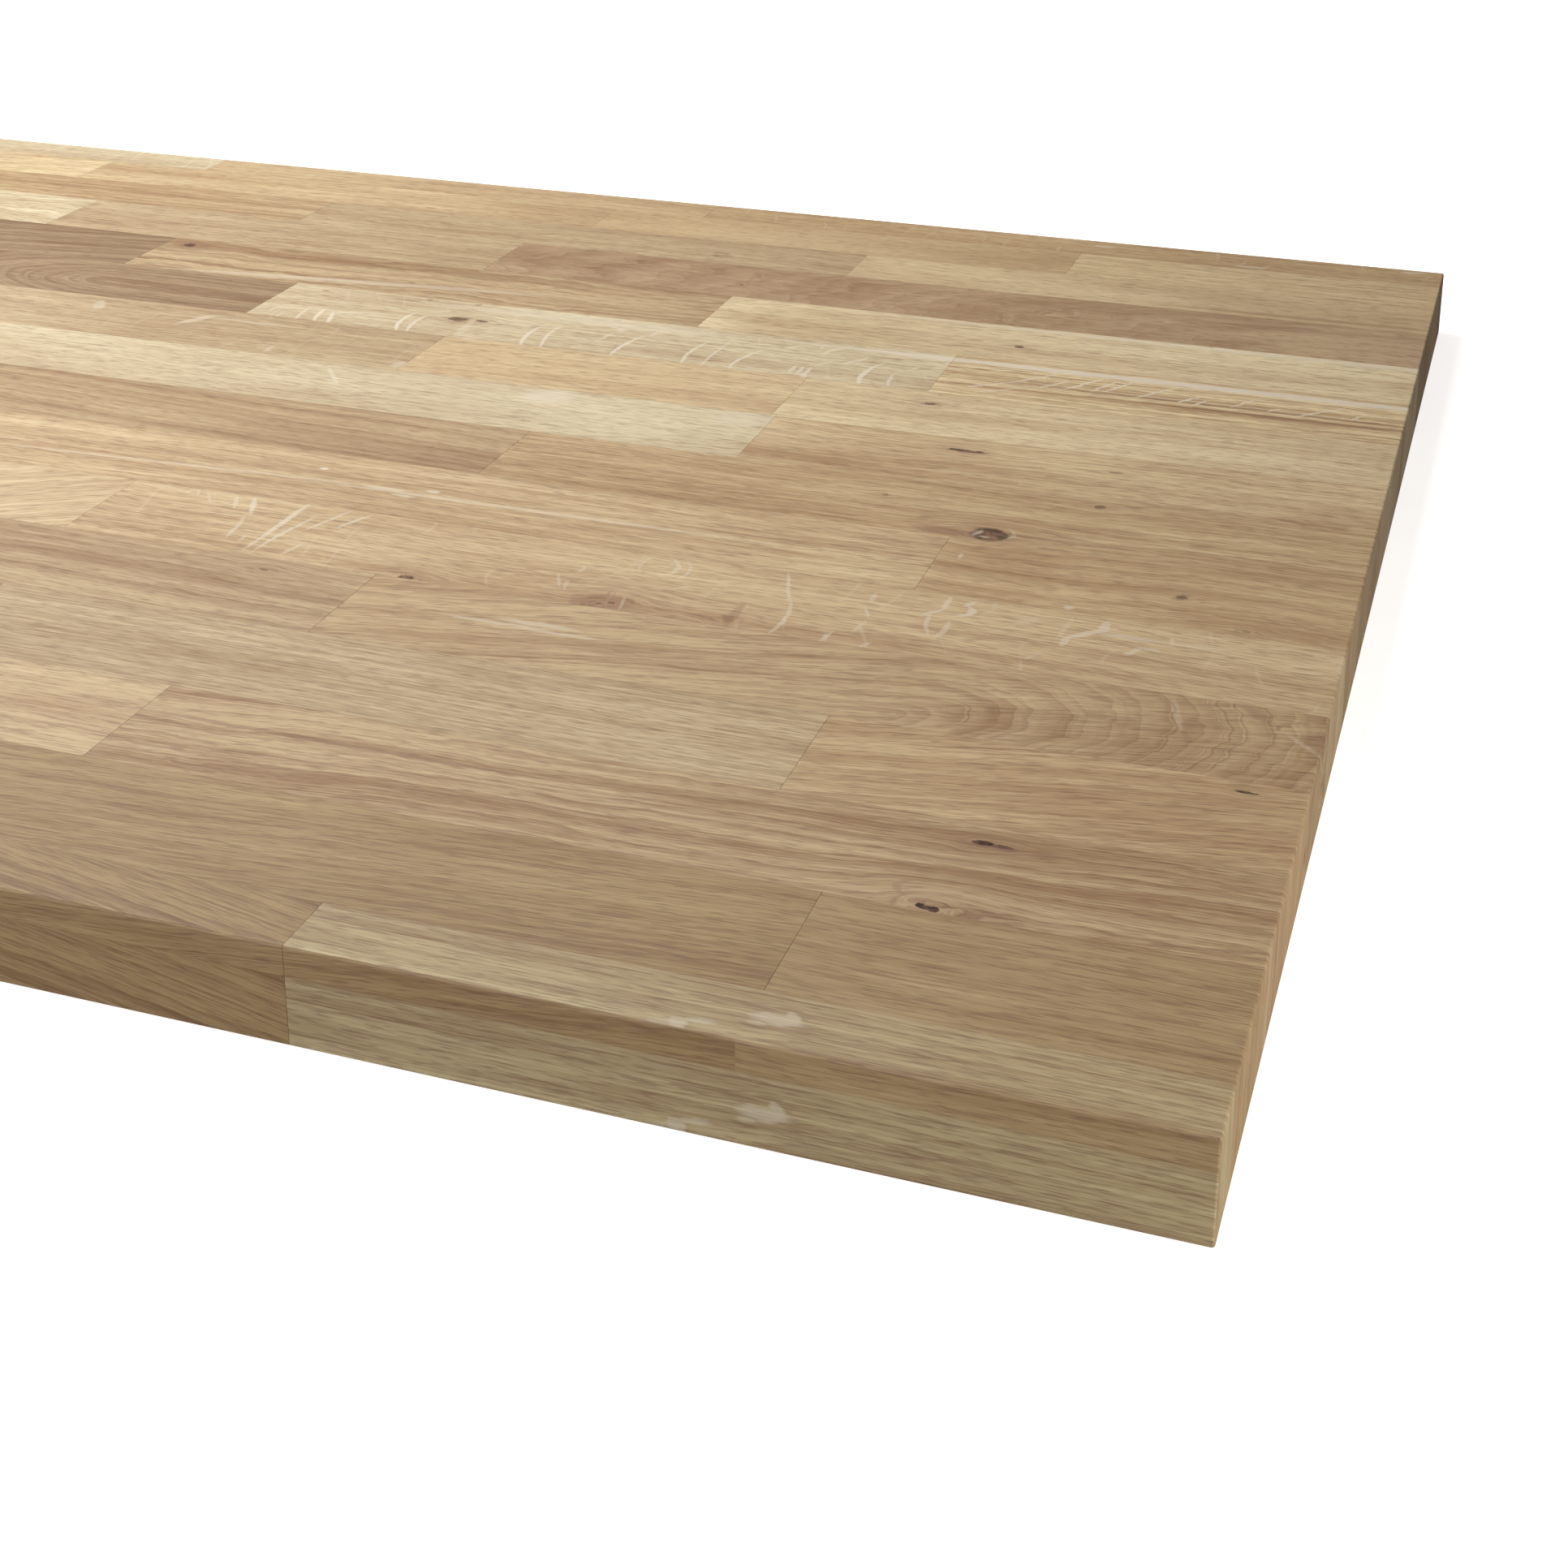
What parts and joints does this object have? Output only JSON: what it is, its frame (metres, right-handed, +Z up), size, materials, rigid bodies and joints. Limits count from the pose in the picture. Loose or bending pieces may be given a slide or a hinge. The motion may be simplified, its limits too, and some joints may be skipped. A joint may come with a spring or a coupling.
{
  "type": "butcher block countertop",
  "caption": "Solid oak countertop blank, edge-glued from rows of butt-jointed staves, sanded flush, with square eased edges.",
  "frame": {"origin": "middle of the underside", "axes": "+X along the staves towards the right-hand end, +Y from the front edge to the back edge, +Z up through the thickness"},
  "size_m": [1.86, 0.635, 0.028],
  "materials": {
    "oak_staves": "oiled",
    "oak_front_row": "oiled"
  },
  "bodies": {
    "root": {"stave_row_01": "oak_front_row", "stave_row_02": "oak_staves", "stave_row_03": "oak_staves", "stave_row_04": "oak_staves", "stave_row_05": "oak_staves", "stave_row_06": "oak_staves", "stave_row_07": "oak_staves", "stave_row_08": "oak_staves", "stave_row_09": "oak_staves", "stave_row_10": "oak_staves", "stave_row_11": "oak_staves", "stave_row_12": "oak_staves", "stave_row_13": "oak_staves", "stave_row_14": "oak_staves", "stave_row_15": "oak_staves", "stave_row_16": "oak_staves"}
  },
  "joints": []
}
